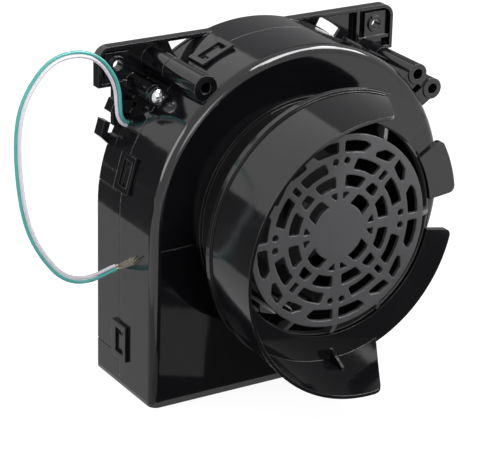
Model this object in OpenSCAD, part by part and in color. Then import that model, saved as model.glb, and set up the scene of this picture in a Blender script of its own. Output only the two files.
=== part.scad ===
// Centrifugal DC blower: two-shell housing with a mounting bar, snap latches and screw towers,
// an inlet collar with hood and web grille, a squirrel-cage impeller and its permanent-magnet motor.
// +Z is up, the outlet faces down, the inlet faces -Y. The origin is under the middle of the part.
// Depths are measured forwards (towards -Y) from the back plane.

/* [Housing] */
// Outer radius of the drum
shell_r = 74.9; // [72:0.1:76.4]
// Height of the fan axis above the outlet face
axis_z = 80.8; // [78:0.1:90]
// Depth of the closed housing
shell_depth = 50.8; // [48:0.1:60]
// Depth of the rear shell, up to the seam
seam_depth = 20.4; // [16:0.1:26]
// Width of the seam line between the shells
seam_gap = 0.3; // [0.1:0.05:0.6]
// Wall of both shells
wall = 2; // [1.6:0.1:2.6]
// Outer edge rounding of the front shell
edge_r = 4; // [2:0.5:5]
// Outlet side wall, to the right of the fan axis
outlet_right = 30; // [24:1:36]
// Overlap of the lip inside the seam
lip_length = 3; // [2:0.5:5]
// Thickness of that lip
lip_wall = 1.2; // [1:0.1:1.6]

/* [Scroll] */
// Gap between impeller and tongue
tongue_gap = 3.5; // [2:0.5:5]
// Angle of the tongue below the horizontal
tongue_angle = 62; // [58:1:66]
// Thickness of the scroll wall
scroll_wall = 1.6; // [1.2:0.1:2.2]

/* [Mounting bar] */
// Width of the mounting bar
bar_w = 154; // [152:1:164]
// Drop of the bar's top below the drum's top
bar_drop = 2.7; // [0.9:0.1:4.9]
// Height of the left ear
ear_left_h = 18; // [16:0.5:22]
// Height of the right ear
ear_right_h = 21.5; // [18:0.5:24]
// Depth of the bar's rim
bar_depth = 4.9; // [4:0.1:7]
// Thickness of the bar's back skin and of its rim
bar_wall = 1.6; // [1.2:0.1:2.2]
// Corner radius of the bar
bar_corner_r = 6; // [3:0.5:7]
// Distance between the bar's screw holes
bar_hole_spacing = 135; // [130:1:140]
// Drop of those holes below the bar's top
bar_hole_drop = 8.8; // [8:0.1:10]
// Radius of those holes
bar_hole_r = 2.3; // [1.8:0.1:2.6]

/* [Towers and latches] */
// Radius of the left tower
tower_left_r = 5.6; // [5:0.1:6.5]
// Radius of the two right towers
tower_right_r = 4.8; // [4.2:0.1:5.4]
// Depth of the towers' front faces
tower_depth = 48; // [44:0.5:50]
// Radius of the tower holes
tower_hole_r = 2.4; // [2:0.1:2.6]
// Depth of the tower holes
tower_hole_depth = 18; // [12:1:22]
// Height of a latch frame
latch_h = 17; // [14:1:19]
// Reach of a latch frame along the housing's depth
latch_len = 12.5; // [11:0.5:15]
// Thickness of a latch frame
latch_t = 1.4; // [1:0.1:1.8]

/* [Inlet collar] */
// Inner radius of the neck
neck_r = 49.1; // [48.4:0.1:50]
// Wall of the neck
neck_wall = 2.4; // [2:0.1:3]
// Height of the neck in front of the housing
neck_h = 27.5; // [22:0.5:32]
// Outer radius of the flange
flange_r = 63.4; // [62:0.1:66]
// Thickness of the flange
flange_t = 2.8; // [2.2:0.1:3.4]
// Outer radius of the hood where it leaves the flange
hood_r = 62.4; // [61:0.1:63.2]
// Height of the hood in front of the flange
hood_h = 31.7; // [26:0.1:36]
// Growth of the hood's radius from flange to rim
hood_flare = 0.9; // [0:0.1:2]
// Downward tilt of the hood, in degrees
hood_tilt = 3.7; // [2:0.1:5]
// Wall of the hood
hood_wall = 1.5; // [1.3:0.1:2]
// Where the hood's slanted side edge starts on the flange, right of the axis
hood_cut_x = 24; // [20:0.5:28]
// Slant of that edge, sideways per unit of height
hood_cut_slope = 0.58; // [0.4:0.02:0.7]
// Rounding of the hood's front corners
hood_corner_r = 6; // [4:0.5:8]

/* [Grille] */
// Thickness of the grille web
grille_t = 2; // [1.6:0.1:2.4]
// Height of the web's face in front of the flange
grille_rise = 2.3; // [2.1:0.1:2.8]
// Radius of the hub disc
hub_disc_r = 13.1; // [12.4:0.1:13.6]
// Width of the open outer slot ring
slot_w = 4.9; // [4.6:0.1:5.2]
// Width of the narrow spokes across the slot ring
spoke_w = 2; // [1.4:0.1:2.6]

/* [Impeller] */
// Outer radius of the blades
impeller_r = 56; // [54:0.5:57]
// Radial depth of a blade
blade_depth = 8; // [7:0.5:9]
// Number of blades
blade_count = 36; // [28:1:40]
// Thickness of a blade
blade_t = 1; // [0.8:0.1:1.2]
// Depth at which the back disc starts
impeller_back = 9; // [8:0.5:11]
// Height of the blades
blade_h = 36; // [32:0.5:37]
// Thickness of the back disc, front ring and dome
disc_t = 1.5; // [1.2:0.1:1.8]
// Inner radius of the dome over the motor
dome_r = 26; // [25.5:0.1:28]

/* [Motor] */
// Radius of the motor can
motor_r = 14; // [13.6:0.1:14.4]
// Length of the motor over can and end cap
motor_length = 33; // [32:0.5:34]
// Depth of the motor's back face
motor_back = 8; // [7.5:0.5:8.5]
// Radius of the shaft
shaft_r = 1.15; // [1:0.05:1.5]
// Radial clearance of the shaft in its bearings
shaft_clearance = 0.03; // [0.02:0.01:0.06]
// Wall of the can
can_wall = 1.2; // [1:0.1:1.4]
// Air gap between armature and magnets
air_gap = 0.6; // [0.5:0.1:0.8]
// Thickness of the rubber sleeve
sleeve_t = 1.5; // [1.2:0.1:1.8]
// Thickness of the motor bracket
bracket_t = 1.6; // [1.2:0.1:2]
// Pitch radius of the bracket's screws
bracket_pitch_r = 20.6; // [20.3:0.1:20.8]

/* [Leads] */
// Outer diameter of each lead
lead_d = 1.6; // [1.4:0.05:1.8]
// General fitting clearance
fit = 0.1; // [0.05:0.05:0.2]

/* [Hidden] */
$fn = 96;

collar_front = shell_depth + neck_h;
total_depth = collar_front + hood_h;
rear_y = total_depth / 2;
flange_back = collar_front - flange_t;
cavity_r = shell_r - wall;
bar_top = axis_z + shell_r - bar_drop;
eps = 0.01;

// Places a flat drawing (right, up) at a depth; it is extruded forwards from there.
module at_depth(d) { translate([0, rear_y - d, 0]) rotate([90, 0, 0]) children(); }
// The same, centred on the fan axis.
module on_axis(d) { translate([0, rear_y - d, axis_z]) rotate([90, 0, 0]) children(); }
// A plain round ring or disc on the fan axis, from one depth to another.
module disc(d0, d1, r) { on_axis(d0) cylinder(h = d1 - d0, r = r); }
module ring(d0, d1, r_out, r_in) {
    difference() {
        disc(d0, d1, r_out);
        disc(d0 - 1, d1 + 1, r_in);
    }
}
// Turns its children about the fan axis, anticlockwise seen from the inlet.
module about_axis(a) {
    translate([0, 0, axis_z]) rotate([0, -a, 0]) translate([0, 0, -axis_z]) children();
}
// A block given by its left, right, lower and upper edges and its two depths.
module block(x0, x1, z0, z1, d0, d1) {
    translate([x0, rear_y - d1, z0]) cube([x1 - x0, d1 - d0, z1 - z0]);
}
function polar(r, a) = [r * cos(a), r * sin(a)];
function arc(r, a0, a1, n, c = [0, 0]) = [for (i = [0:n]) c + polar(r, a0 + (a1 - a0) * i / n)];

// ---------------------------------------------------------------- housing outline
// Solid drum plus the duct that runs down from its left half. The duct starts at height z0.
module housing_body(d0, d1, inset, z0 = 0) {
    disc(d0, d1, shell_r - inset);
    block(-shell_r + inset, outlet_right - inset, z0, axis_z, d0, d1);
}
// The same body with rounded front edges.
module rounded_body(d0, d1, r) {
    on_axis(0) rotate_extrude() {
        translate([0, d0]) square([shell_r, d1 - d0 - r]);
        translate([0, d0]) square([shell_r - r, d1 - d0]);
        translate([shell_r - r, d1 - r]) circle(r = r);
    }
    linear_extrude(height = axis_z) translate([0, rear_y - d1]) {
        translate([-shell_r, r]) square([shell_r, d1 - d0 - r]);
        translate([-shell_r + r, 0]) square([shell_r - r, d1 - d0]);
        translate([-shell_r + r, r]) circle(r = r);
        translate([-eps, wall]) square([outlet_right + eps, d1 - d0 - wall]);
        translate([-eps, 0]) square([outlet_right - wall + eps, d1 - d0]);
        translate([outlet_right - wall, wall]) circle(r = wall);
    }
}

// Inner spiral wall, from the tongue beside the outlet round to the drum.
scroll_start_r = impeller_r + tongue_gap;
scroll_end_r = shell_r - 0.9 - scroll_wall;
scroll_end_angle = 150;
scroll_span = scroll_end_angle + tongue_angle;
tongue = polar(scroll_start_r + scroll_wall / 2, -tongue_angle);
function scroll_point(t, extra) =
    polar(scroll_start_r + (scroll_end_r - scroll_start_r) * t + extra, -tongue_angle + scroll_span * t);
module scroll_outline(grow) {
    steps = 40;
    polygon(concat(
        [for (i = [0:steps]) scroll_point(i / steps + (i == steps ? grow / 100 : 0), -grow)],
        [for (i = [steps:-1:0]) scroll_point(i / steps + (i == steps ? grow / 100 : 0), scroll_wall + grow)]));
}
module scroll_wall_body(d0, d1) {
    on_axis(d0) linear_extrude(height = d1 - d0) scroll_outline(0);
    post(tongue[0], axis_z + tongue[1], scroll_wall * 0.75, d0, d1);
    tongue_z = axis_z + tongue[1];
    side = outlet_right - wall / 4;
    block(outlet_right - wall, side, 0, tongue_z - 4, d0, d1);
    at_depth(d0) linear_extrude(height = d1 - d0) polygon([
        [outlet_right - wall, tongue_z - 4 - eps], [side, tongue_z - 4 - eps],
        [tongue[0] + 0.7 * scroll_wall, tongue_z], [tongue[0] - 0.7 * scroll_wall, tongue_z]]);
}
// A round post along the housing's depth, centred at x and z.
module post(x, z, r, d0, d1) {
    translate([x, rear_y - d0, z]) rotate([90, 0, 0]) cylinder(h = d1 - d0, r = r);
}
module polar_post(r, a, post_r, d0, d1) { post(r * cos(a), axis_z + r * sin(a), post_r, d0, d1); }

// ---------------------------------------------------------------- screw towers and bosses
tower_left_angle = 127.7;
tower_left_pitch = shell_r + tower_left_r - 1.1;
tower_right_angles = [40.6, 32.5];
tower_right_pitches = [shell_r + tower_right_r + 1.1, shell_r + tower_right_r + 3.1];
boss_angles = [137.3, -48];
boss_r = 4.4;
boss_pitch = shell_r + boss_r - 0.8;
shell_screw_r = 1.3;
shell_screw_head_r = 3.5;
shell_screw_head_h = 2.1;
lug_t = 2.8;
front_start = seam_depth + seam_gap;

module tower_pair(d0, d1) {
    polar_post(tower_left_pitch, tower_left_angle, tower_left_r, d0, d1);
    tower_web(tower_left_pitch, tower_left_angle, tower_left_r, d0, d1);
    polar_post(tower_right_pitches[0], tower_right_angles[0], tower_right_r, d0, d1);
    tower_web(tower_right_pitches[0], tower_right_angles[0], tower_right_r, d0, d1);
}
// Web that joins a tower to the drum. It ends a step short of the tower's faces.
web_step = 0.5;
module tower_web(pitch, a, r, d0, d1) {
    half = 0.82 * r;
    about_axis(a) block(shell_r - wall / 2, pitch, axis_z - half, axis_z + half, d0 + web_step,
                        d1 - web_step);
}
module tower_hole(pitch, a) {
    polar_post(pitch, a, tower_hole_r, tower_depth - tower_hole_depth, tower_depth + 1);
}
module boss(a, d0, d1) {
    polar_post(boss_pitch, a, boss_r, d0, d1);
    tower_web(boss_pitch, a, boss_r, d0, d1);
}

// ---------------------------------------------------------------- snap latches
latch_start = seam_depth - 4.5;
latch_angles = [164.5, 114, 50, -25];
latch_low_z = 22;
catch_h = 7;
catch_len = 4;
window_margin = 2.6;
// Calls its children once at every latch place, with the wall at x = shell_r.
module at_latches() {
    for (a = latch_angles) about_axis(a) children();
    translate([0, 0, latch_low_z - axis_z]) about_axis(180) children();
}
module latch_frame() {
    difference() {
        block(shell_r - 0.4, shell_r + latch_t, axis_z - latch_h / 2, axis_z + latch_h / 2,
              latch_start, latch_start + latch_len);
        block(shell_r - 1, shell_r + latch_t + 1, axis_z - latch_h / 2 + window_margin,
              axis_z + latch_h / 2 - window_margin,
              latch_start + 3.5, latch_start + latch_len - 2);
        block(shell_r - 1, shell_r + fit, axis_z - latch_h, axis_z + latch_h,
              seam_depth, latch_start + latch_len + 1);
    }
}
module latch_catch() {
    block(shell_r - 0.4, shell_r + latch_t * 0.8, axis_z - catch_h / 2, axis_z + catch_h / 2,
          latch_start + latch_len - 2 - fit - catch_len, latch_start + latch_len - 2 - fit);
}

// ---------------------------------------------------------------- mounting bar
bar_hole_z = bar_top - bar_hole_drop;
ear_left_z = bar_top - ear_left_h;
ear_right_z = bar_top - ear_right_h;
web_left_x = -shell_r + 6.4;
module bar_outline(inset) {
    r = bar_corner_r - inset;
    side = bar_w / 2 - inset;
    top = bar_top - inset;
    translate([-side, ear_left_z + inset]) square([side, top - r - ear_left_z - inset]);
    translate([-eps, ear_right_z + inset]) square([side + eps, top - r - ear_right_z - inset]);
    translate([-side + r, ear_left_z + inset]) square([2 * (side - r), top - ear_left_z - inset]);
    for (s = [-1, 1]) translate([s * (side - r), top - r]) circle(r = r);
}
// Openings between the bar's back skin and the drum.
module bar_gaps() {
    difference() {
        intersection() {
            translate([0, axis_z]) circle(r = shell_r + 5);
            translate([0, axis_z]) polygon([[0, 0], polar(120, 51.5), polar(120, 61)]);
        }
        translate([0, axis_z]) circle(r = shell_r + 0.6);
    }
    difference() {
        translate([0, axis_z]) polygon([polar(shell_r - 3, 107.5), polar(120, 107.5), polar(120, 118.5),
                                        polar(shell_r - 3, 121)]);
        translate([0, axis_z]) circle(r = shell_r + 0.4);
        translate([-bar_w / 2, bar_top - bar_wall]) square([bar_w, 60]);
    }
}
// How far the lower hook reaches out from the drum beside it.
hook_reach = 8.4;
module wire_hooks(d1) {
    low = polar(shell_r, 156);
    high = polar(shell_r, 145);
    on_axis(0.3) linear_extrude(height = d1 - 0.3) {
        translate(low) polygon([[2.4, -5.8], [-hook_reach * 0.4, -3.1], [-hook_reach, 2.1],
                                [-hook_reach + 2, 9.1], [-hook_reach + 4.9, 7.9],
                                [-hook_reach + 3.6, 3.7], [-1.6, 0.9], [4.4, 0.7]]);
        translate(high) polygon([[-0.6, -1.8], [-10.6, 0], [-8.2, 5], [1.4, 4.2]]);
    }
}
// Raised pad with a screw hole in each corner of the bar, and the ribs beside the right one.
pad_w = 11.5;
module bar_pads() {
    for (s = [-1, 1])
        block(s * bar_hole_spacing / 2 - pad_w / 2, s * bar_hole_spacing / 2 + pad_w / 2,
              bar_hole_z - pad_w / 2, bar_hole_z + pad_w / 2, 0, bar_depth - 0.9);
    for (s = [-1, 1]) post(s * bar_hole_spacing / 2, bar_hole_z, bar_hole_r + 1.6, 0, bar_depth);
    rib_x = bar_hole_spacing / 2 - pad_w / 2 - 3.5;
    block(rib_x - bar_wall, rib_x, bar_hole_z - pad_w / 2 - 6, bar_top - bar_wall / 2, 0, bar_depth);
    block(rib_x - bar_wall, bar_w / 2 - bar_wall / 2, bar_hole_z - pad_w / 2 - bar_wall,
          bar_hole_z - pad_w / 2, 0, bar_depth - 0.5);
}

// ---------------------------------------------------------------- motor places
motor_front = motor_back + motor_length;
bracket_front = motor_front + bracket_t;
socket_r = motor_r + sleeve_t + fit;
socket_wall = 2;
socket_front = 26;
ledge_r = 12;
motor_post_r = 3.2;
small_screw_r = 1.2;
small_head_r = 2.6;
small_head_h = 1.8;
bracket_angles = [90, 210, 330];
dome_inside = bracket_front + small_head_h + 1;
dome_front = dome_inside + disc_t;
lead_angle = 150;
lead_depth = 9;
lead_low = wall + lead_d / 2 + fit;
lead_pitch = lead_d + fit;
notch_w = 2 * lead_d + 4 * fit + 0.6;
// Cooling holes in the back wall behind the motor.
vent_pitch_r = 8;
vent_r = 1.5;

module rear_shell() color("#17171b") {
    difference() {
        union() {
            housing_body(0, seam_depth, 0);
            difference() {
                at_depth(0) linear_extrude(height = bar_depth) bar_outline(0);
                at_depth(bar_wall) linear_extrude(height = bar_depth) {
                    bar_outline(bar_wall);
                    translate([web_left_x, ear_left_z - 1]) square([bar_w / 4, 4]);
                }
                at_depth(-1) linear_extrude(height = bar_wall + 2) bar_gaps();
            }
            at_depth(0) linear_extrude(height = bar_wall + 1) translate([0, axis_z]) polygon([
                [web_left_x, ear_left_z - axis_z + 1], [web_left_x, 0.47 * shell_r],
                polar(shell_r - 8, 153), polar(shell_r - 8, 138),
                [web_left_x + 23.5, ear_left_z - axis_z + 1]]);
            bar_pads();
            wire_hooks(6.5);
            tower_pair(web_step, seam_depth);
            for (a = boss_angles) boss(a, web_step, seam_depth);
            at_latches() latch_frame();
            about_axis(140) block(shell_r - 0.5, shell_r + 1, axis_z - 0.6, axis_z + 0.6, 0, 5.4);
            about_axis(142) block(shell_r - 0.5, shell_r + 1, axis_z - 0.6, axis_z + 0.6, 6.4, 16.7);
        }
        housing_body(wall, seam_depth + 1, wall, -1);
        for (s = [-1, 1]) post(s * bar_hole_spacing / 2, bar_hole_z, bar_hole_r, -1, bar_depth + 1);
        for (a = boss_angles) polar_post(boss_pitch, a, shell_screw_r, 8, seam_depth + 1);
        for (a = [30:60:330]) polar_post(vent_pitch_r, a, vent_r, -1, wall + 1);
        for (a = [180, 172]) about_axis(a) translate([0, 0, a == 180 ? axis_z - 14.5 : 0])
            block(shell_r - 0.5, shell_r + 1, axis_z - 0.25, axis_z + 0.25, -1, 15.5);
        about_axis(lead_angle) block(cavity_r - 1, shell_r + 8, axis_z - notch_w / 2,
                                     axis_z + notch_w / 2, lead_depth - lead_d / 2 - fit,
                                     lead_depth + lead_d / 2 + fit);
    }
    difference() {
        scroll_wall_body(wall - eps, seam_depth);
        about_axis(lead_angle) block(cavity_r - 8, shell_r + 1, axis_z - notch_w / 2,
                                     axis_z + notch_w / 2, wall - 1, lead_depth + lead_d / 2 + fit);
    }
    difference() {
        union() {
            ring(wall - eps, socket_front, socket_r + socket_wall, socket_r);
            ring(wall - eps, motor_back, socket_r + eps, ledge_r);
            for (a = bracket_angles) polar_post(bracket_pitch_r, a, motor_post_r, wall - eps, motor_front);
        }
        disc(motor_back, motor_front + 1, socket_r);
        for (a = bracket_angles)
            polar_post(bracket_pitch_r, a, small_screw_r, motor_front - 10, motor_front + 1);
        about_axis(lead_angle) block(ledge_r - 2, bracket_pitch_r + motor_post_r + 1,
                                     axis_z - notch_w / 2, axis_z + notch_w / 2, wall, 6);
    }
}

module front_shell() color("#131317") {
    difference() {
        union() {
            rounded_body(front_start, shell_depth, edge_r);
            tower_pair(front_start, tower_depth);
            polar_post(tower_right_pitches[1], tower_right_angles[1], tower_right_r, 30, tower_depth);
            tower_web(tower_right_pitches[1], tower_right_angles[1], tower_right_r, 30, tower_depth);
            right_tower_web();
            for (a = boss_angles) boss(a, front_start, front_start + lug_t);
            at_latches() latch_catch();
            about_axis(143) block(shell_r - 0.5, shell_r + 1, axis_z - 0.6, axis_z + 0.6,
                                  front_start, front_start + 6);
        }
        housing_body(front_start - 1, shell_depth - wall, wall, -1);
        disc(shell_depth - wall - 1, shell_depth + 1, neck_out_r + fit);
        tower_hole(tower_left_pitch, tower_left_angle);
        for (i = [0, 1]) tower_hole(tower_right_pitches[i], tower_right_angles[i]);
        for (a = boss_angles)
            polar_post(boss_pitch, a, shell_screw_r + 0.3, front_start - 1, front_start + lug_t + 1);
        block(-shell_r + edge_r, -neck_out_r + 3, axis_z - 6.8, axis_z - 6.4, shell_depth - 0.3,
              shell_depth + 1);
    }
    seam_lip();
    scroll_wall_body(front_start, shell_depth - wall + eps);
}
// Web between the two right towers.
module right_tower_web() {
    p = [for (i = [0, 1]) polar(tower_right_pitches[i], tower_right_angles[i])];
    q = (p[1] - p[0]) / norm(p[1] - p[0]);
    n = [-q[1], q[0]] * tower_right_r * 0.6;
    on_axis(30) linear_extrude(height = tower_depth - 30 - 2 * web_step) polygon([p[0] + n, p[1] + n, p[1] - n, p[0] - n]);
}
// Lip of the front shell that slides inside the rear shell.
module seam_lip() {
    difference() {
        union() {
            housing_body(seam_depth - lip_length, front_start + 2, wall + fit, 0);
            housing_body(front_start, front_start + 2, wall - 0.2, 0);
        }
        housing_body(seam_depth - lip_length - 1, front_start + 3, wall + fit + lip_wall, -1);
        block(outlet_right - wall - 8, outlet_right + 1, -1, axis_z + tongue[1] + 2,
              seam_depth - lip_length - 1, front_start + 3);
        on_axis(seam_depth - lip_length - 1) linear_extrude(height = lip_length + 1 + seam_gap / 2)
            scroll_outline(fit + 0.2);
    }
}

// ---------------------------------------------------------------- inlet collar
grille_rebate = 1.2;
neck_out_r = neck_r + neck_wall;
grille_front = collar_front + grille_rise;
grille_back = grille_front - grille_t;
rebate_depth = collar_front - 2.1;
gap_angles = [[349.5, 366], [391, 403.5]];

// Sector of a ring between two angles, with its outer corners rounded.
function rounded_sector(r0, r1, a0, a1, rc, n) =
    let (turn = asin(rc / (r1 - rc)),
         reach = sqrt(pow(r1 - rc, 2) - rc * rc))
    concat([polar(r0, a0), polar(reach, a0)],
           arc(rc, a0 - 90, a0 + turn, 5, polar(r1 - rc, a0 + turn)),
           arc(r1, a0 + turn, a1 - turn, n),
           arc(rc, a1 - turn, a1 + 90, 5, polar(r1 - rc, a1 - turn)),
           [polar(reach, a1), polar(r0, a1)],
           arc(r0, a1, a0, n));
module flange_plate(d0, d1) {
    corner_r = 3;
    on_axis(d0) linear_extrude(height = d1 - d0) {
        polygon(rounded_sector(neck_r + 0.5, flange_r, gap_angles[0][1] - 360, gap_angles[1][0] - 360,
                               corner_r, 8));
        polygon(rounded_sector(neck_r + 0.5, flange_r, gap_angles[1][1] - 360, gap_angles[0][0],
                               corner_r, 90));
    }
}
// Tilted cone that carries the hood's wall, grown or shrunk by a given amount.
module hood_cone(grow) {
    below = 6;
    above = hood_h + 12;
    slope = hood_flare / hood_h;
    on_axis(flange_back) rotate([hood_tilt, 0, 0]) translate([0, 0, -below])
        cylinder(h = below + above, r1 = hood_r - slope * below + grow,
                 r2 = hood_r + slope * above + grow);
}
// Plan view of what is kept of the hood: slanted right edge and rounded front corner.
module hood_plan() {
    k = sqrt(1 + hood_cut_slope * hood_cut_slope);
    f = hood_h - hood_corner_r;
    x = hood_cut_x - hood_cut_slope * f - hood_corner_r * k;
    tangent = [x + hood_corner_r / k, f + hood_corner_r * hood_cut_slope / k];
    side = hood_r + hood_flare + 10;
    translate([0, rear_y - collar_front]) scale([1, -1]) {
        polygon([[-side, -flange_t], [hood_cut_x + hood_cut_slope * flange_t, -flange_t], tangent,
                 [x, hood_h], [-side, hood_h]]);
        translate([x, f]) circle(r = hood_corner_r);
    }
}
module hood() {
    intersection() {
        difference() {
            hood_cone(0);
            hood_cone(-hood_wall);
        }
        linear_extrude(height = axis_z + shell_r) hood_plan();
    }
}
// Small triangular rib that stiffens the bottom of the hood.
module hood_gusset() {
    t = 1.5;
    root = hood_r - hood_wall;
    on_axis(collar_front - 0.5) rotate([0, 0, -90]) rotate([90, 0, 0]) translate([0, 0, -t / 2])
        linear_extrude(height = t)
            polygon([[root - 4.7, 0], [root + 0.6, 0], [root + 1.2, 10.5], [root + 0.6, 10.5]]);
}
module inlet_collar() color("#1b1b1f") {
    difference() {
        union() {
            disc(shell_depth - wall, flange_back + eps, neck_out_r);
            disc(shell_depth, shell_depth + 1.5, neck_out_r + 1.5);
            flange_plate(flange_back, collar_front);
        }
        disc(shell_depth - wall - 1, rebate_depth, neck_r + grille_rebate);
        disc(rebate_depth - 1, collar_front + 1, neck_r);
    }
    hood();
    hood_gusset();
}

// ---------------------------------------------------------------- inlet grille
lattice_r = neck_r - slot_w;
// Inner and outer radius of each row of windows, and the round holes between the rows.
row_1 = [14.2, 18.2];
row_2 = [20.5, 25.9];
row_3 = [28.3, 33.5];
row_4 = [36.2, 41.4];
grille_hole_r = 1.55;
grille_hole_pitch = row_3[1] - 1.1;
window_corner_r = 0.9;
// Rounds the corners of a convex outline.
function unit(v) = v / norm(v);
function rounded(pts, r) = [for (i = [0:len(pts) - 1])
    let (b = pts[i], u = unit(pts[(i + len(pts) - 1) % len(pts)] - b), v = unit(pts[(i + 1) % len(pts)] - b),
         half = acos(u * v) / 2, mid = unit(u + v),
         c = b + mid * r / sin(half), sweep = 90 - half)
    for (t = half > 78 ? [0] : [-1, 0, 1])
        let (m = atan2(-mid[1], -mid[0]), side = (u[0] * v[1] - u[1] * v[0]) > 0 ? -1 : 1)
        half > 78 ? b : c + polar(r, m + side * t * sweep)];
// Corners given as radius and angle from the axis of symmetry, both sides of the vertical.
module window_pair(corners, r) {
    pts = [for (c = corners) polar(c[0], 90 - c[1])];
    for (m = [0, 1]) mirror([m, 0]) polygon(rounded(pts, r));
}
// Outline of a window between two radii: its inner edge runs from one angle to the other,
// its outer edge back again.
function band(radii, inner, outer) = [for (side = [0, 1]) for (i = [0:3])
    side == 0 ? [radii[0], inner[0] + (inner[1] - inner[0]) * i / 3]
              : [radii[1], outer[0] + (outer[1] - outer[0]) * i / 3]];
// Corners of a window that lies across a diagonal: one half, the other half mirrors it.
module diagonal_window(half, r) {
    pts = concat([for (c = half) polar(c[0], 90 - c[1])],
                 [for (i = [len(half) - 1:-1:0]) polar(half[i][0], 90 + half[i][1])]);
    rotate(-45) polygon(rounded(pts, r));
}
module grille_windows() {
    for (q = [0:3]) rotate(90 * q) {
        window_pair([[row_1[0], 5.5], [row_1[1], 4.3], [row_1[1], 17]], 0.5);
        window_pair(band(row_2, [6.2, 27.5], [31, 5.5]), window_corner_r);
        window_pair(band(row_3, [12.4, 36.8], [38.4, 14.4]), window_corner_r);
        window_pair(concat([for (i = [0:3]) [row_4[0] + (i == 3 ? 0.3 : 0), 2.4 + 5.4 * i]],
                           [[row_4[1] - 1.2, 22.9], [row_4[1], 17.5], [row_4[1] + 0.1, 9.8], [row_4[1], 2.1]]),
                    window_corner_r);
        window_pair([[row_4[0] + 0.9, 42], [row_4[0], 36], [row_4[0] - 0.1, 28.8], [row_4[0] + 1.8, 28.4],
                     [row_4[1] - 0.6, 34.4], [row_4[1], 43.2]], 0.7);
        for (k = [-1, 1]) rotate(k * 5.2) translate([0, grille_hole_pitch]) circle(r = grille_hole_r, $fn = 24);
        diagonal_window([[row_2[0] + 0.9, 9], [row_2[1], 4.9]], window_corner_r);
        diagonal_window([[row_3[0] + 0.4, 2.6], [row_3[1], 2.4]], 0.7);
        diagonal_window([[hub_disc_r - 1.5, 25], [row_1[1], 14.2], [row_1[1] + 0.4, 6]], 0.9);
    }
}
// A plate that stands on a radius of the collar, drawn as radius and depth.
module radial_plate(a, t, pts) {
    on_axis(0) rotate([0, 0, a]) rotate([90, 0, 0]) translate([0, 0, -t / 2])
        linear_extrude(height = t) polygon(pts);
}
rim_in_r = neck_r + 0.2;
module inlet_grille() color("#201f22") {
    on_axis(grille_back) linear_extrude(height = grille_t) {
        difference() {
            circle(r = lattice_r);
            grille_windows();
            circle(r = hub_disc_r - 1);
        }
    }
    disc(grille_back - 0.4, grille_front, hub_disc_r);
    for (a = [0, 60, 90, 120, 180, 240, 270, 300])
        radial_plate(a, spoke_w * (a % 180 == 90 ? 1.3 : 1), [
            [lattice_r - 1, grille_back], [lattice_r - 1, grille_front - 0.1],
            [lattice_r + 0.6, grille_front - 0.1], [neck_r - fit, collar_front - 0.2],
            [neck_r - fit, rebate_depth - fit], [rim_in_r + 0.5, rebate_depth - fit],
            [rim_in_r + 0.5, rebate_depth - 3], [neck_r - 2, rebate_depth - 3],
            [lattice_r, grille_back - 1.5]]);
    ring(rebate_depth - 4, rebate_depth - fit, neck_r + grille_rebate - fit, rim_in_r);
}

// ---------------------------------------------------------------- impeller
blade_front = impeller_back + blade_h;
bush_r = 3.5;
hub_r = 7;
hub_front = dome_front + 4.5;
blade_lean = 7.5;
module blade(a) {
    stations = [for (i = [0:4]) i / 4];
    polygon(concat(
        [for (t = stations) polar(impeller_r - blade_depth + blade_depth * t - 0.05 * (1 - t),
                                  a + blade_lean * t * t - 28.6 * blade_t / impeller_r)],
        [for (i = [4:-1:0]) let (t = stations[i])
            polar(impeller_r - blade_depth + blade_depth * t - 0.05 * (1 - t),
                  a + blade_lean * t * t + 28.6 * blade_t / impeller_r)]));
}
module impeller() color("#26262a") {
    on_axis(impeller_back + disc_t / 2) linear_extrude(height = blade_h - disc_t)
        for (i = [0:blade_count - 1]) blade(360 * i / blade_count);
    ring(impeller_back, impeller_back + disc_t, impeller_r + 0.3, dome_r);
    ring(blade_front - disc_t, blade_front, impeller_r + 0.3, impeller_r - 3.5);
    ring(impeller_back, dome_front, dome_r + disc_t, dome_r);
    difference() {
        union() {
            disc(dome_inside, dome_front, dome_r + eps);
            disc(dome_inside, hub_front, hub_r);
        }
        disc(dome_inside - 1, hub_front + 1, bush_r);
    }
}
module impeller_bush() color("#c9a24a") ring(dome_inside - 1.4, hub_front + 0.4, bush_r, shaft_r);
module shaft_clip() color("#9a9ca0") {
    clip_back = hub_front + 0.4;
    difference() {
        disc(clip_back, clip_back + 0.6, bush_r);
        disc(clip_back - 1, clip_back + 2, shaft_r);
        block(shaft_r * 0.4, bush_r + 1, axis_z - shaft_r * 0.9, axis_z + shaft_r * 0.9, clip_back - 1,
              clip_back + 2);
    }
}

// ---------------------------------------------------------------- motor
bearing_r = 3;
bearing_len = 3;
can_in_r = motor_r - can_wall;
magnet_t = 2.1;
magnet_in_r = can_in_r - fit - magnet_t;
core_r = magnet_in_r - air_gap;
core_back = motor_back + 10.5;
core_front = motor_front - 7.5;
cap_front = motor_back + 5;
nose_r = 5;
nose_front = bracket_front + 0.2;
commutator_r = 3.4;
commutator_back = cap_front + 0.3;
terminal_x = 6.6;
terminal_t = 0.5;
terminal_w = 3;
pole_count = 5;
motor_screw_x = 8;
motor_screw_r = 1.2;

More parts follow.
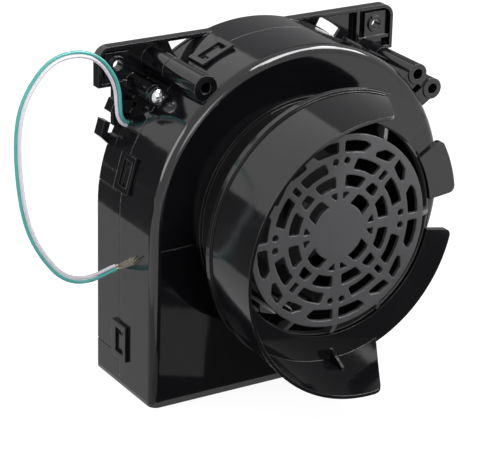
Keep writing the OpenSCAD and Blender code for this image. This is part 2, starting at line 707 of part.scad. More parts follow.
module motor_shaft() color("#c4c7cc") disc(motor_back - 2, hub_front + 1.8, shaft_r);
module pole_shapes() {
    circle(r = 3.3);
    for (i = [0:pole_count - 1]) rotate(90 + 360 * i / pole_count) {
        translate([0, -1.1]) square([core_r - 1, 2.2]);
        polygon(concat(arc(core_r, -28, 28, 8), arc(core_r - 1.4, 28, -28, 8)));
    }
}
module armature_core() color("#7d8086") {
    on_axis(core_back) linear_extrude(height = core_front - core_back) difference() {
        pole_shapes();
        circle(r = shaft_r);
    }
}
module armature_windings() color("#a8572a") {
    on_axis(core_back - 1.4) for (i = [0:pole_count - 1]) rotate(90 + 360 * i / pole_count)
        difference() {
            translate([4.0, -2.5, 0]) cube([core_r - 2.1 - 4.0, 5, core_front - core_back + 2.8]);
            translate([3, -1.15, 1.35]) cube([core_r, 2.3, core_front - core_back + 0.1]);
        }
}
module commutator() color("#b87333") difference() {
    ring(commutator_back, commutator_back + 4.5, commutator_r, shaft_r);
    for (i = [0:pole_count - 1]) about_axis(54 + 360 * i / pole_count)
        block(commutator_r - 0.6, commutator_r + 1, axis_z - 0.2, axis_z + 0.2, commutator_back - 1,
              commutator_back + 6);
}
module thrust_washers() color("#3b2f26") {
    ring(motor_back + 1.7, motor_back + 2.2, 2.6, shaft_r);
    ring(core_front + 1.6, core_front + 2.1, 2.6, shaft_r);
}
module motor_can() color("#b9bcc1") {
    difference() {
        union() {
            disc(cap_front, motor_front, motor_r);
            disc(motor_front - eps, nose_front, nose_r);
        }
        disc(cap_front - 1, motor_front - can_wall, can_in_r);
        disc(motor_front - can_wall - 1, nose_front + 1, bearing_r);
        for (s = [-1, 1]) post(s * motor_screw_x, axis_z, motor_screw_r, motor_front - can_wall - 1,
                               motor_front + 1);
    }
}
module motor_end_cap() color("#ece7da") {
    difference() {
        union() {
            disc(motor_back, cap_front, motor_r);
            disc(motor_back - 2, motor_back + eps, 4.4);
            ring(cap_front - eps, cap_front + 2.5, can_in_r - fit / 2, can_in_r - 1.4);
        }
        disc(motor_back - 3, motor_back + 1.5, bearing_r);
        disc(motor_back + 1.4, cap_front + 1, 4.4);
        for (s = [-1, 1]) block(s * (terminal_x + terminal_t / 2) - terminal_t / 2 - 0.05,
                                s * (terminal_x + terminal_t / 2) + terminal_t / 2 + 0.05,
                                axis_z - terminal_w / 2 - 0.05, axis_z + terminal_w / 2 + 0.05,
                                motor_back - 1, cap_front + 1);
    }
}
module front_bearing() color("#a0763a")
    ring(nose_front - bearing_len, nose_front, bearing_r, shaft_r + shaft_clearance);
module rear_bearing() color("#a0763a")
    ring(motor_back - 1.5, motor_back + 1.5, bearing_r, shaft_r + shaft_clearance);
module magnets() color("#2e2d2c") {
    for (s = [0, 180]) on_axis(cap_front + 3) linear_extrude(height = motor_front - cap_front - 6)
        rotate(s) polygon(concat(arc(can_in_r - 0.02, -62, 62, 20), arc(magnet_in_r, 62, -62, 20)));
}
module brushes() color("#242424") {
    for (s = [-1, 1]) translate([s * (commutator_r + terminal_x) / 2 + s * 0.1, rear_y - commutator_back - 2.2, axis_z])
        cube([terminal_x - commutator_r - 0.2, 2.6, 2.4], center = true);
}
module terminals() color("#c9a24a") {
    for (s = [-1, 1]) block(s * (terminal_x + terminal_t / 2) - terminal_t / 2,
                            s * (terminal_x + terminal_t / 2) + terminal_t / 2,
                            axis_z - terminal_w / 2, axis_z + terminal_w / 2,
                            motor_back - 4.4, commutator_back + 3.6);
}
module motor_sleeve() color("#2b2b2b") ring(motor_back + 3, socket_front - 1, motor_r + sleeve_t, motor_r);
module motor_bracket() color("#8f9399") {
    difference() {
        union() {
            disc(motor_front, bracket_front, 15);
            for (a = bracket_angles) {
                polar_post(bracket_pitch_r, a, motor_post_r + 0.2, motor_front, bracket_front);
                about_axis(a) block(10, bracket_pitch_r, axis_z - motor_post_r, axis_z + motor_post_r,
                                    motor_front, bracket_front);
            }
        }
        disc(motor_front - 1, bracket_front + 1, nose_r + fit);
        for (a = bracket_angles)
            polar_post(bracket_pitch_r, a, small_screw_r + 0.2, motor_front - 1, bracket_front + 1);
        for (s = [-1, 1]) post(s * motor_screw_x, axis_z, motor_screw_r + 0.2, motor_front - 1, bracket_front + 1);
    }
}

// ---------------------------------------------------------------- screws
// Pan-head screw with a cross recess; its head sits at depth d.
module screw(x, z, shank_r, shank_len, head_r, head_h, d) {
    difference() {
        union() {
            post(x, z, shank_r, d - shank_len, d + eps);
            translate([x, rear_y - d, z]) rotate([90, 0, 0]) rotate_extrude() intersection() {
                square([head_r, head_h]);
                translate([0, head_h - head_r * 1.35]) circle(r = head_r * 1.35);
            }
        }
        for (a = [0, 90]) translate([x, rear_y - d - head_h, z]) rotate([0, a, 0])
            cube([head_r * 1.1, head_h, head_r * 0.28], center = true);
    }
}
module polar_screw(pitch, a, shank_r, shank_len, head_r, head_h, d) {
    screw(pitch * cos(a), axis_z + pitch * sin(a), shank_r, shank_len, head_r, head_h, d);
}
module bracket_screws() color("#b9bcc1") {
    for (a = bracket_angles)
        polar_screw(bracket_pitch_r, a, small_screw_r, 9, small_head_r, small_head_h, bracket_front);
}
module motor_screws() color("#b9bcc1") {
    for (s = [-1, 1]) screw(s * motor_screw_x, axis_z, motor_screw_r, 3, 2.3, 1.5, bracket_front);
}
module housing_screws() color("#d7d9dc") {
    for (a = boss_angles)
        polar_screw(boss_pitch, a, shell_screw_r, 13, shell_screw_head_r, shell_screw_head_h,
                    front_start + lug_t);
}

// ---------------------------------------------------------------- leads
// Route of the pair outside the housing: right, depth, up. It starts in the wall's slot.
exit_point = concat(polar(shell_r, lead_angle), [0]);
lead_start = [exit_point[0], lead_depth, axis_z + exit_point[1]];
lead_route = [
    lead_start, [-67, 9, 119.5], [-68.9, 9, 123.1], [-69.4, 9, 127.6], [-70.3, 9, 135.5],
    [-73.8, 9, 143.3], [-79.3, 9, 149.6], [-86, 9, 152.9], [-92.6, 9.5, 153.8], [-99.3, 10, 152.9],
    [-105, 10.7, 150.1], [-110.1, 11.4, 145.4], [-114.7, 12.1, 139.3], [-118, 12.9, 132.2],
    [-119.8, 13.7, 124.3], [-120.5, 14.4, 116], [-120.5, 15.2, 106.8], [-119.9, 16, 97.2],
    [-118.6, 16.8, 87.8], [-116.2, 17.4, 79], [-112.6, 18.1, 71.1], [-108, 18.8, 63.9],
    [-102.9, 19.3, 58.2], [-97.1, 19.8, 54.9], [-90.6, 20.3, 54], [-84.8, 20.8, 55],
    [-80.9, 21.4, 56.4], [-77.6, 22.4, 57.8]];
bare_route = [[-77.42, 22.47, 57.89], [-76.9, 22.72, 58.13], [-76.4, 24.3, 58.9], [-76.3, 27, 60.3],
              [-76.3, 30.3, 62.3], [-76.3, 34, 64.6], [-76.4, 38.4, 67.8]];
strand_r = 0.4;

// Ring of points round a place of a route, square to the route's direction.
function tangent(p, i) = unit(p[min(i + 1, len(p) - 1)] - p[max(i - 1, 0)]);
// Direction that the flat side of the pair faces, and a shift of one lead square to it.
pair_facing = [-0.49, 0.79, 0.38];
function shifted(p, side) = [for (i = [0:len(p) - 1]) p[i] + side * unit(cross(pair_facing, tangent(p, i)))];
module tube(p, r, sides = 8) {
    rings = [for (i = [0:len(p) - 1])
        let (t = tangent(p, i), a = unit(cross(t, abs(t[1]) > 0.8 ? [1, 0, 0] : [0, 1, 0])), b = cross(t, a))
        [for (k = [0:sides - 1]) p[i] + r * (cos(360 * k / sides) * a + sin(360 * k / sides) * b)]];
    last = len(p) - 1;
    translate([0, rear_y, 0]) mirror([0, 1, 0]) polyhedron(
        points = [for (ring_points = rings) for (q = ring_points) q],
        faces = concat(
            [[for (k = [0:sides - 1]) sides - 1 - k]],
            [for (i = [0:last - 1]) for (k = [0:sides - 1])
                [i * sides + k, i * sides + (k + 1) % sides, (i + 1) * sides + (k + 1) % sides]],
            [for (i = [0:last - 1]) for (k = [0:sides - 1])
                [i * sides + k, (i + 1) * sides + (k + 1) % sides, (i + 1) * sides + k]],
            [[for (k = [0:sides - 1]) last * sides + k]]));
}
function notch_point(r, d, side) = concat([polar(r, lead_angle)[0]], [d], [axis_z + polar(r, lead_angle)[1]])
    + side * [-sin(lead_angle), 0, cos(lead_angle)] * -1;
inner_run = [for (q = [[13.2, 4], [17.5, 3.6], [21, lead_low], [40, lead_low],
                       [shell_r - 17, lead_low], [shell_r - 12, 4], [shell_r - 8.4, 7],
                       [shell_r - 4.9, lead_depth], [shell_r - 0.1, lead_depth]]) q];
module inner_leads() color("#3a8f93") {
    half = lead_pitch / 2;
    up = [sin(lead_angle), 0, -cos(lead_angle)];
    start_z = axis_z + 1;
    for (s = [-1, 1]) {
        run = [for (q = inner_run) [q[0] * cos(lead_angle), q[1], axis_z + q[0] * sin(lead_angle)] + s * half * up];
        head = s < 0
            ? [[-terminal_x - terminal_t - lead_d / 2, 4.6, start_z], [-9.3, 4.2, start_z + 2.6]]
            : [[terminal_x + terminal_t + lead_d / 2, 4.6, start_z], [8.2, 4.2, start_z + 3.8],
               [4.3, 4, start_z + 7.5], [-1.6, 4, start_z + 8.2], [-6.2, 4, start_z + 6.8],
               [-8.9, 4, start_z + 5.3]];
        tube(concat(head, run), lead_d / 2);
    }
}
module lead_teal() color("#1fa39b") tube(shifted(lead_route, lead_pitch / 2), lead_d / 2);
module lead_white() color("#e9eef0") tube(shifted(lead_route, -lead_pitch / 2), lead_d / 2);
module lead_teal_end() color("#c9b08a") tube(shifted(bare_route, lead_pitch / 2 - 0.25), strand_r);
module lead_white_end() color("#cfcfd2") tube(shifted(bare_route, -lead_pitch / 2 + 0.25), strand_r);

rear_shell();
front_shell();
inlet_collar();
inlet_grille();
impeller();
impeller_bush();
shaft_clip();
motor_shaft();
armature_core();
armature_windings();
commutator();
thrust_washers();
motor_can();
motor_end_cap();
front_bearing();
rear_bearing();
magnets();
brushes();
terminals();
motor_sleeve();
motor_bracket();
bracket_screws();
motor_screws();
housing_screws();
inner_leads();
lead_teal();
lead_white();
lead_teal_end();
lead_white_end();
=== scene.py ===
# %% [markdown]
# # A centrifugal blower in glossy black plastic
# The blower pulls air in through a round collar with a web grille and pushes it out below.
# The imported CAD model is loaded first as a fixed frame. Its shapes stay as they are, and
# this script dresses them: camera, leads, materials and a plain white studio.

# %% Load the frame
import math
import bmesh
import bpy
from mathutils import Matrix, Vector


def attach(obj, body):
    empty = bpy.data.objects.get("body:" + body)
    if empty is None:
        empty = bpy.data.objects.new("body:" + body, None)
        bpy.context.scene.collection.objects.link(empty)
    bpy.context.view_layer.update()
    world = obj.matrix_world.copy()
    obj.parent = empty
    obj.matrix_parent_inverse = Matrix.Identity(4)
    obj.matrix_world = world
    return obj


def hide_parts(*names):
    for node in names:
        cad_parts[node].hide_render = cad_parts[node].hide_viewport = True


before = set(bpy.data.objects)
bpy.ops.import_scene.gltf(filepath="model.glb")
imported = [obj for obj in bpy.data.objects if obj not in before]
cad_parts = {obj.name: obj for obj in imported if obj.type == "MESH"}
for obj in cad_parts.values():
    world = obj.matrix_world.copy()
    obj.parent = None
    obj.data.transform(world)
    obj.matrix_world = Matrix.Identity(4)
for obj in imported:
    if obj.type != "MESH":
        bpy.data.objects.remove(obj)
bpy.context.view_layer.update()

MM = 0.001

# %% [markdown]
# ## The camera
# A picture's look depends on where the lens stands and how long it is. This one stands to
# the left of the inlet, 22 degrees above it and about a metre away, and is tipped 1.4
# degrees. An empty could be tracked instead, but a matrix of three axes also holds the tip.

# %% Camera
AZIMUTH, ROLL = math.radians(-31.61), math.radians(1.38)
LENS_MM, SENSOR_MM = 167.9, 36.0
CAMERA_AT = Vector((-509.2, -773.7, 448.5)) * MM
TARGET = Vector((-17.6, 25.0, 67.7)) * MM

back = (CAMERA_AT - TARGET).normalized()
level = Vector((math.cos(AZIMUTH), math.sin(AZIMUTH), 0.0))
up = back.cross(level).normalized()
right_axis = level * math.cos(ROLL) + up * math.sin(ROLL)
up_axis = up * math.cos(ROLL) - level * math.sin(ROLL)
camera_data = bpy.data.cameras.new("camera")
camera_data.lens, camera_data.sensor_width = LENS_MM, SENSOR_MM
camera_data.clip_start = 0.01
camera = bpy.data.objects.new("camera", camera_data)
bpy.context.scene.collection.objects.link(camera)
turn = Matrix((right_axis, up_axis, back)).transposed().to_4x4()
camera.matrix_world = Matrix.Translation(CAMERA_AT) @ turn
bpy.context.scene.camera = camera
bpy.context.scene.view_settings.view_transform = "Standard"
print("camera is", round((CAMERA_AT - TARGET).length, 3), "m away")

# %% [markdown]
# ## The two leads
# Each lead is stranded copper in soft PVC. It is shown from end to end, so it has its real
# length. A bezier curve with a round bevel is the natural way to draw it: it keeps one
# thickness round every bend. The curve is then kept as a mesh: the bounds read from the
# curves were about 2 m wide, so a view framed by them showed the part tiny, and with
# meshes they are right. The points are those of the CAD model's route, as right, depth
# from the back plane, and up, in millimetres.

# %% Route of the leads
REAR_Y = 55.0
LEAD_D, LEAD_PITCH = 1.6, 1.7
WALL_EXIT = (-64.865, 9.0, 118.25)
ROUTE = [
    WALL_EXIT, (-67, 9, 119.5), (-68.9, 9, 123.1), (-69.4, 9, 127.6), (-70.3, 9, 135.5),
    (-73.8, 9, 143.3), (-79.3, 9, 149.6), (-86, 9, 152.9), (-92.6, 9.5, 153.8),
    (-99.3, 10, 152.9), (-105, 10.7, 150.1), (-110.1, 11.4, 145.4), (-114.7, 12.1, 139.3),
    (-118, 12.9, 132.2), (-119.8, 13.7, 124.3), (-120.5, 14.4, 116), (-120.5, 15.2, 106.8),
    (-119.9, 16, 97.2), (-118.6, 16.8, 87.8), (-116.2, 17.4, 79), (-112.6, 18.1, 71.1),
    (-108, 18.8, 63.9), (-102.9, 19.3, 58.2), (-97.1, 19.8, 54.9), (-90.6, 20.3, 54),
    (-84.8, 20.8, 55), (-80.9, 21.4, 56.4), (-77.6, 22.4, 57.8)]
BARE = [(-77.6, 22.4, 57.8), (-76.9, 22.72, 58.13), (-76.4, 24.3, 58.9), (-76.3, 27, 60.3),
        (-76.3, 30.3, 62.3), (-76.3, 34, 64.6), (-76.4, 38.4, 67.8)]
PAIR_FACING = Vector((-0.49, 0.79, 0.38))


def beside(points, side):
    """The route moved sideways by side millimetres, so that the pair lies flat."""
    places = [Vector(p) for p in points]
    moved = []
    for i, p in enumerate(places):
        run = (places[min(i + 1, len(places) - 1)] - places[max(i - 1, 0)]).normalized()
        moved.append(p + side * PAIR_FACING.cross(run).normalized())
    return moved


def placed(p):
    """A route point as a place in the row frame, in metres."""
    return Vector((p[0], REAR_Y - p[1], p[2])) * MM


def rod(name, lines, radius, smooth=True):
    """A round rod along each line of points, kept as a mesh, and its centre line, in metres."""
    curve = bpy.data.curves.new(name, "CURVE")
    curve.dimensions, curve.use_fill_caps = "3D", True
    curve.bevel_depth, curve.bevel_resolution = radius, 4 if smooth else 1
    curve.resolution_u = curve.render_resolution_u = 6 if smooth else 3
    for line in lines:
        spline = curve.splines.new("BEZIER")
        spline.bezier_points.add(len(line) - 1)
        for knot, p in zip(spline.bezier_points, line):
            knot.co = knot.handle_left = knot.handle_right = p
            knot.handle_left_type = knot.handle_right_type = "AUTO"
    drawn = bpy.data.objects.new(name + "_line", curve)
    bpy.context.scene.collection.objects.link(drawn)
    meshes = []
    for depth in (0.0, radius):
        curve.bevel_depth = depth
        bpy.context.view_layer.update()
        graph = bpy.context.evaluated_depsgraph_get()
        meshes.append(bpy.data.meshes.new_from_object(drawn.evaluated_get(graph),
                                                      depsgraph=graph))
    bpy.data.objects.remove(drawn)
    obj = bpy.data.objects.new(name, meshes[1])
    bpy.context.scene.collection.objects.link(obj)
    return obj, [v.co.copy() for v in meshes[0].vertices]


# %% [markdown]
# ## Bare strands
# The last 15 mm of each lead is stripped, and its tinned strands have come apart. A handful
# of thin rods does this better than one thick wire: each keeps the lead's line at first and
# opens out towards its tip, with a slow twist that the stranding leaves in the copper.

# %% Leads and strands
STRANDS, STRAND_R = 9, 0.11
FLARE = 1.5  # how far the outermost tips open, in mm
STRAND_TURNS = 0.6
BUNDLE_R = 0.33  # where a strand starts, from the lead's centre, in mm
LEAST_FLARE, LEAST_LENGTH = 0.25, 0.82  # as shares of the longest
TOWARDS_PAIR = 0.25  # the bare ends lie closer together than the leads, in mm


def strand_lines(points, seed):
    """Lines of the strands round a bare end, in metres."""
    centre = [placed(p) for p in points]
    lines = []
    for k in range(STRANDS):
        start = 2 * math.pi * (k + 0.37 * seed) / STRANDS
        flare_share = ((k * 5 + seed * 3) % STRANDS) / (STRANDS - 1)
        reach = (LEAST_FLARE + (1 - LEAST_FLARE) * flare_share) * FLARE
        length_share = ((k * 7 + seed) % STRANDS) / (STRANDS - 1)
        stop = LEAST_LENGTH + (1 - LEAST_LENGTH) * length_share
        line = []
        for i, p in enumerate(centre):
            t = i / (len(centre) - 1)
            run = (centre[min(i + 1, len(centre) - 1)] - centre[max(i - 1, 0)]).normalized()
            side = run.cross(Vector((1, 0, 0))).normalized()
            angle = start + 2 * math.pi * STRAND_TURNS * t
            out = (BUNDLE_R + reach * t * t) * MM
            line.append(p + out * (math.cos(angle) * side + math.sin(angle) * run.cross(side)))
        last = line[-2] + (line[-1] - line[-2]) * (stop * 5 - 4)
        lines.append(line[:-1] + [last])
    return lines


for number, (colour, side) in enumerate((("teal", LEAD_PITCH / 2), ("white", -LEAD_PITCH / 2))):
    line = [placed(p) for p in beside(ROUTE, side)]
    lead, centre_line = rod(f"lead_{colour}_insulation", [line], LEAD_D / 2 * MM)
    inward = TOWARDS_PAIR * (1 if side < 0 else -1)
    ends, _ = rod(f"lead_{colour}_strands", strand_lines(beside(BARE, side + inward), number),
                  STRAND_R * MM, smooth=False)
    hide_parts(f"lead_{colour}")
    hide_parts(f"lead_{colour}_end")
    for piece in (lead, ends):
        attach(piece, "housing")
    along = sum((b - a).length for a, b in zip(centre_line, centre_line[1:]))
    print(f"{lead.name}: {along / MM:.1f} mm along its centre, {STRANDS} strands")

# %% [markdown]
# ## Two helpers for materials
# Colours are written as the sRGB hex values that a colour picker shows. Blender's shaders
# work in linear light, so one function converts them. The other adds a node, sets it and
# links it in one line, which keeps each material as short as its node graph.

# %% Helpers


def linear(hex_colour):
    """An sRGB hex colour as linear RGBA."""
    parts = [int(hex_colour[i:i + 2], 16) / 255 for i in (1, 3, 5)]
    return [c / 12.92 if c <= 0.04045 else ((c + 0.055) / 1.055) ** 2.4 for c in parts] + [1.0]


def add(tree, kind, inputs=None, **settings):
    """Adds a node. inputs maps a socket's name or number to a value or to a socket to link."""
    new = tree.nodes.new(kind)
    for name, value in settings.items():
        setattr(new, name, value)
    for name, value in (inputs or {}).items():
        if isinstance(value, bpy.types.NodeSocket):
            tree.links.new(value, new.inputs[name])
        else:
            new.inputs[name].default_value = value
    return new


def blank(name):
    """An empty material, its node tree and its output node."""
    material = bpy.data.materials.new(name)
    material.use_nodes = True
    material.node_tree.nodes.clear()
    output = material.node_tree.nodes.new("ShaderNodeOutputMaterial")
    return material, material.node_tree, output


def per_m(size_mm):
    """The scale of a pattern whose features are size_mm across."""
    return 1000.0 / size_mm


# %% [markdown]
# ## Injection-moulded ABS
# ABS is a hard plastic with an IOR near 1.53. A polished mould gives it a mirror-like skin,
# and a sparked mould gives a fine grain that scatters light. The same recipe serves all
# black mouldings: a dark colour that varies faintly, a slow waviness where the wall shrank,
# a fine grain, light handling marks in the roughness, and edges that a Bevel node rounds by
# a few tenths of a millimetre, because a mould never has a perfectly sharp edge.

# %% Moulded plastic


def moulded(name, dark, light, gloss, matt, grain_mm, grain_um, edge_mm, ior=1.53):
    """Moulded plastic between two colours and two roughness values."""
    material, tree, output = blank(name)
    place = add(tree, "ShaderNodeTexCoord").outputs["Object"]
    cloud = add(tree, "ShaderNodeTexNoise", {"Vector": place, "Scale": per_m(22), "Detail": 3.0})
    marks = add(tree, "ShaderNodeTexNoise", {"Vector": place, "Scale": per_m(2.5), "Detail": 5.0,
                                             "Roughness": 0.6})
    grain = add(tree, "ShaderNodeTexNoise", {"Vector": place, "Scale": per_m(grain_mm),
                                             "Detail": 2.0})
    colour = add(tree, "ShaderNodeMix", {"Factor": cloud.outputs["Fac"]},
                 data_type="RGBA")
    colour.inputs[6].default_value, colour.inputs[7].default_value = linear(dark), linear(light)
    both = add(tree, "ShaderNodeMath", {0: cloud.outputs["Fac"], 1: marks.outputs["Fac"]},
               operation="MULTIPLY")
    rough = add(tree, "ShaderNodeMapRange", {"Value": both.outputs[0], "From Min": 0.1,
                                             "From Max": 0.45, "To Min": gloss, "To Max": matt})
    edge = add(tree, "ShaderNodeBevel", {"Radius": edge_mm * MM}, samples=6)
    wave = add(tree, "ShaderNodeBump", {"Height": cloud.outputs["Fac"], "Strength": 0.25,
                                        "Distance": 0.0004, "Normal": edge.outputs["Normal"]})
    skin = add(tree, "ShaderNodeBump", {"Height": grain.outputs["Fac"], "Strength": 0.5,
                                        "Distance": grain_um * 1e-6,
                                        "Normal": wave.outputs["Normal"]})
    surface = add(tree, "ShaderNodeBsdfPrincipled",
                  {"Base Color": colour.outputs[2], "Roughness": rough.outputs[0],
                   "IOR": ior, "Normal": skin.outputs["Normal"]})
    tree.links.new(surface.outputs[0], output.inputs["Surface"])
    return material


def dress(material, *names):
    """Gives CAD nodes or new pieces this material."""
    for name in names:
        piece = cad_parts.get(name) or bpy.data.objects[name]
        if not piece.material_slots:
            piece.data.materials.append(material)
        for slot in piece.material_slots:
            slot.material = material
    print(f"{material.name}: {', '.join(names)}")


housing_abs = moulded("black_abs_polished", "#0b0b0e", "#101013", 0.05, 0.14, 0.5, 5, 0.5)
dress(housing_abs, "front_shell", "rear_shell")
collar_abs = moulded("black_abs_satin", "#0e0e10", "#141416", 0.06, 0.15, 0.4, 5, 0.4)
dress(collar_abs, "inlet_collar")
grille_abs = moulded("black_abs_grained", "#454446", "#504f51", 0.3, 0.42, 0.3, 12, 0.8)
dress(grille_abs, "inlet_grille")
wheel_pp = moulded("black_polypropylene", "#1d1d20", "#262629", 0.35, 0.5, 0.4, 10, 0.25, ior=1.49)
dress(wheel_pp, "impeller")
fibre = moulded("pressed_fibre_board", "#3a2a20", "#4c392b", 0.6, 0.8, 0.2, 20, 0.1)
dress(fibre, "thrust_washers")
carbon = moulded("pressed_carbon", "#1b1b1b", "#2a2a2a", 0.5, 0.7, 0.15, 12, 0.1)
dress(carbon, "brushes")
nylon = moulded("natural_nylon", "#cfcabb", "#dad5c7", 0.3, 0.45, 0.4, 8, 0.3)
dress(nylon, "motor_end_cap")
rubber = moulded("moulded_rubber", "#161616", "#1f1f1f", 0.6, 0.75, 0.3, 20, 0.3, ior=1.52)
dress(rubber, "motor_sleeve")

# %% [markdown]
# ## Soft PVC on the leads
# Plasticised PVC is extruded, so it is smooth and waxy rather than glassy, and light enters
# it a little. A fine noise gives its skin a faint grain in roughness and bump. Its colour varies
# slowly along the length, which a large noise gives.

# %% Soft PVC


def soft_pvc(name, dark, light):
    material, tree, output = blank(name)
    place = add(tree, "ShaderNodeTexCoord").outputs["Object"]
    cloud = add(tree, "ShaderNodeTexNoise", {"Vector": place, "Scale": per_m(9), "Detail": 3.0})
    fine = add(tree, "ShaderNodeTexNoise", {"Vector": place, "Scale": per_m(0.5), "Detail": 2.0})
    colour = add(tree, "ShaderNodeMix", {"Factor": cloud.outputs["Fac"]}, data_type="RGBA")
    colour.inputs[6].default_value, colour.inputs[7].default_value = linear(dark), linear(light)
    rough = add(tree, "ShaderNodeMapRange", {"Value": fine.outputs["Fac"], "To Min": 0.28,
                                             "To Max": 0.42})
    skin = add(tree, "ShaderNodeBump", {"Height": fine.outputs["Fac"], "Strength": 0.4,
                                        "Distance": 0.00002})
    surface = add(tree, "ShaderNodeBsdfPrincipled",
                  {"Base Color": colour.outputs[2], "Roughness": rough.outputs[0], "IOR": 1.54,
                   "Subsurface Weight": 0.12, "Subsurface Scale": 0.0006,
                   "Normal": skin.outputs["Normal"]})
    tree.links.new(surface.outputs[0], output.inputs["Surface"])
    return material


dress(soft_pvc("soft_pvc_teal", "#3f9f99", "#55b0a9"), "lead_teal_insulation", "inner_leads")
dress(soft_pvc("soft_pvc_white", "#d6d0da", "#e4e0e8"), "lead_white_insulation")

# %% [markdown]
# ## Metals
# A metal has no colour of its own under the gloss: its base colour is its reflection. What
# tells them apart is that tint and how the surface was worked. Stamped or turned parts are
# covered in fine lines, drawn here by a noise that is stretched along one axis, and zinc
# plating is cloudy. The lines are drawn at 0.25 mm, coarser than real, so that they show.

# %% Metals


def metal(name, dark, light, smooth, rough_to, stretch=(1, 1, 12)):
    material, tree, output = blank(name)
    place = add(tree, "ShaderNodeTexCoord").outputs["Object"]
    lined = add(tree, "ShaderNodeMapping", {"Vector": place, "Scale": stretch})
    lines = add(tree, "ShaderNodeTexNoise", {"Vector": lined.outputs[0], "Scale": per_m(3),
                                             "Detail": 4.0})
    cloud = add(tree, "ShaderNodeTexNoise", {"Vector": place, "Scale": per_m(4), "Detail": 3.0})
    colour = add(tree, "ShaderNodeMix", {"Factor": cloud.outputs["Fac"]}, data_type="RGBA")
    colour.inputs[6].default_value, colour.inputs[7].default_value = linear(dark), linear(light)
    rough = add(tree, "ShaderNodeMapRange", {"Value": lines.outputs["Fac"], "From Min": 0.3,
                                             "From Max": 0.7, "To Min": smooth,
                                             "To Max": rough_to})
    edge = add(tree, "ShaderNodeBevel", {"Radius": 0.15 * MM}, samples=6)
    worked = add(tree, "ShaderNodeBump", {"Height": lines.outputs["Fac"], "Strength": 0.3,
                                          "Distance": 0.00002, "Normal": edge.outputs["Normal"]})
    surface = add(tree, "ShaderNodeBsdfPrincipled",
                  {"Base Color": colour.outputs[2], "Roughness": rough.outputs[0],
                   "Metallic": 1.0, "Normal": worked.outputs["Normal"]})
    tree.links.new(surface.outputs[0], output.inputs["Surface"])
    return material


zinc = metal("zinc_plated_steel", "#b9babd", "#d6d7d9", 0.18, 0.32)
dress(zinc, "housing_screws", "bracket_screws", "motor_screws", "motor_can", "motor_bracket")
ground_steel = metal("ground_steel", "#a9abae", "#c2c4c7", 0.12, 0.25)
dress(ground_steel, "motor_shaft", "shaft_clip")
dress(metal("laminated_electrical_steel", "#6f7276", "#8b8e92", 0.3, 0.5, (1, 20, 1)),
      "armature_core")
dress(metal("turned_brass", "#c29a4c", "#d8b468", 0.18, 0.3), "impeller_bush", "terminals")
dress(metal("sintered_bronze", "#8e6a3e", "#a98250", 0.4, 0.6), "front_bearing", "rear_bearing")
dress(metal("enamelled_copper", "#8f3f1c", "#b45a2c", 0.2, 0.35), "armature_windings")
dress(metal("commutator_copper", "#b06a43", "#c98460", 0.2, 0.4), "commutator")
dress(metal("tinned_copper", "#b9a58a", "#ddd6cc", 0.22, 0.4), "lead_teal_strands",
      "lead_white_strands")
dress(metal("sintered_ferrite", "#2b2b2c", "#3a3a3b", 0.5, 0.7), "magnets")

# %% [markdown]
# ## Studio
# A white sweep and a white world make the background. The camera, reflections and clear
# parts see them at full white, and only soft light falls from them on the part, so it
# doesn't look washed out and hardly casts a shadow.

# %% Floor and world
FLOOR_SIZE = 6.0


def plane(name, low, high, z):
    """A flat rectangle between two corners, facing up."""
    mesh = bpy.data.meshes.new(name)
    bm = bmesh.new()
    bmesh.ops.create_grid(bm, x_segments=1, y_segments=1, size=0.5)
    bmesh.ops.scale(bm, vec=(high[0] - low[0], high[1] - low[1], 1), verts=bm.verts)
    bmesh.ops.translate(bm, vec=((low[0] + high[0]) / 2, (low[1] + high[1]) / 2, z),
                        verts=bm.verts)
    bm.to_mesh(mesh)
    bm.free()
    obj = bpy.data.objects.new(name, mesh)
    bpy.context.scene.collection.objects.link(obj)
    return obj


def seen(tree):
    """1 for the rays that should see the background as it is: camera, glossy, transmission."""
    path = add(tree, "ShaderNodeLightPath")
    two = add(tree, "ShaderNodeMath", {0: path.outputs["Is Camera Ray"],
                                       1: path.outputs["Is Glossy Ray"]}, operation="MAXIMUM")
    return add(tree, "ShaderNodeMath", {0: two.outputs[0],
                                        1: path.outputs["Is Transmission Ray"]},
               operation="MAXIMUM").outputs[0]


floor = plane("floor", (-FLOOR_SIZE / 2, -FLOOR_SIZE / 2), (FLOOR_SIZE / 2, FLOOR_SIZE / 2),
              -0.0002)
white_card, tree, output = blank("white_paper_sweep")
paper = add(tree, "ShaderNodeBsdfDiffuse", {"Color": (0.2, 0.2, 0.2, 1)})
amount = add(tree, "ShaderNodeMapRange", {"Value": seen(tree), "To Min": 0.3, "To Max": 0.92})
glow = add(tree, "ShaderNodeEmission", {"Color": (1, 1, 1, 1), "Strength": amount.outputs[0]})
total = add(tree, "ShaderNodeAddShader", {0: paper.outputs[0], 1: glow.outputs[0]})
tree.links.new(total.outputs[0], output.inputs["Surface"])
floor.data.materials.append(white_card)

world = bpy.data.worlds.new("studio")
bpy.context.scene.world = world
world.use_nodes = True
tree = world.node_tree
tree.nodes.clear()
SOFT = 0.45
level_up = add(tree, "ShaderNodeMapRange", {"Value": seen(tree), "To Min": SOFT, "To Max": 1.0})
sky = add(tree, "ShaderNodeBackground", {"Color": (1, 1, 1, 1), "Strength": level_up.outputs[0]})
tree.links.new(sky.outputs[0], add(tree, "ShaderNodeOutputWorld").inputs["Surface"])

# %% [markdown]
# ## Cards that only reflections see
# A mirror-black part shows whatever stands round it, so its look is made by what it
# reflects. A black card under the face keeps that face deep, with a small lighter one for
# its glint. Darker cards beside and behind it tone down the left wall, the hood's side and
# the drum's top, and one bright card draws the thin line over the shoulder. They were
# placed for this one camera, by following the view's reflection off each surface.

# %% Cards


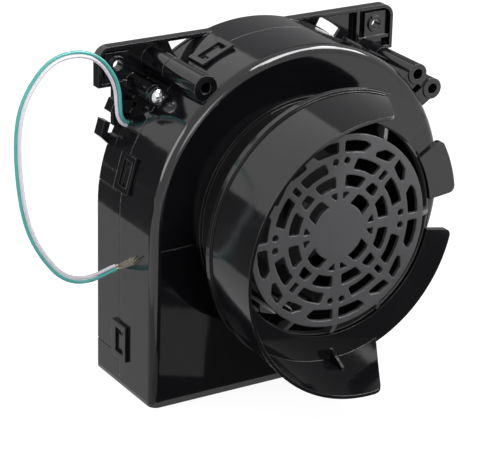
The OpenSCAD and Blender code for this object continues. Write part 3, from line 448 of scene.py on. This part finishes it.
def card(name, at, aim, along, size, level):
    """A card of one brightness. It faces aim, and its long side runs along a direction."""
    obj = plane(name, (-size[0] / 2, -size[1] / 2), (size[0] / 2, size[1] / 2), 0.0)
    facing = (Vector(aim) - Vector(at)).normalized()
    side = facing.cross(Vector(along)).normalized()
    turned = Matrix((side.cross(facing), side, facing)).transposed().to_4x4()
    obj.matrix_world = Matrix.Translation(Vector(at)) @ turned
    material, tree, output = blank(name)
    flat = add(tree, "ShaderNodeEmission", {"Color": (level, level, 1.02 * level, 1)})
    tree.links.new(flat.outputs[0], output.inputs["Surface"])
    obj.data.materials.append(material)
    obj.visible_camera = obj.visible_diffuse = obj.visible_shadow = False
    obj.visible_transmission = obj.visible_volume_scatter = False


RIGHT, LOW, MIDDLE = (1, 0, 0), 0.0004, (0.0, 0.0, 0.08)
card("flag_under_face", (0.035, -0.2, LOW), (0.035, -0.2, 1), RIGHT, (0.27, 0.4), 0.06)
card("glint_under_face", (-0.032, -0.052, 2 * LOW), (-0.032, -0.052, 1), (0.5, -0.8, 0),
     (0.075, 0.03), 0.4)
card("grey_beside", (-0.128, 0.12, LOW), (-0.128, 0.12, 1), RIGHT, (0.104, 0.34), 0.58)
card("dark_left", (-0.48, 0.46, LOW), (-0.48, 0.46, 1), RIGHT, (0.6, 0.68), 0.12)
card("dark_horizon", (-0.62, 0.82, 0.13), (0.0, 0.0, 0.13), (0.8, 0.6, 0), (1.2, 0.4), 0.1)
card("grey_back", (0.86, 1.0, 0.75), (0.86, 0.0, 0.75), RIGHT, (1.2, 1.7), 0.3)
card("bright_above", (0.5, -0.33, 0.87), MIDDLE, (0.88, 0.43, -0.47), (1.15, 0.3), 16)

# %% [markdown]
# ## Lamps
# Soft rectangular lamps, because a small hard lamp would leave a spark on glossy plastic.
# One strip hangs above, a square box stands on the left and a weak one fills the front.

# %% Lamps


def lamp(name, at, aim, size, power):
    """A rectangular soft lamp that points from at to aim, in metres and watts."""
    light = bpy.data.lights.new(name, "AREA")
    light.shape, light.size, light.size_y, light.energy = "RECTANGLE", size[0], size[1], power
    obj = bpy.data.objects.new(name, light)
    bpy.context.scene.collection.objects.link(obj)
    aim_from = (Vector(at) - Vector(aim)).to_track_quat("Z", "Y")
    obj.matrix_world = Matrix.Translation(Vector(at)) @ aim_from.to_matrix().to_4x4()
    return obj


CENTRE = (0.0, 0.0, 0.08)
lamp("top_strip", (0.55, -0.4, 1.0), CENTRE, (1.1, 0.22), 14)
lamp("left_box", (-1.3, 0.35, 0.7), CENTRE, (0.8, 0.8), 9)
lamp("front_fill", (-0.35, -1.5, 0.55), CENTRE, (0.7, 0.5), 5)
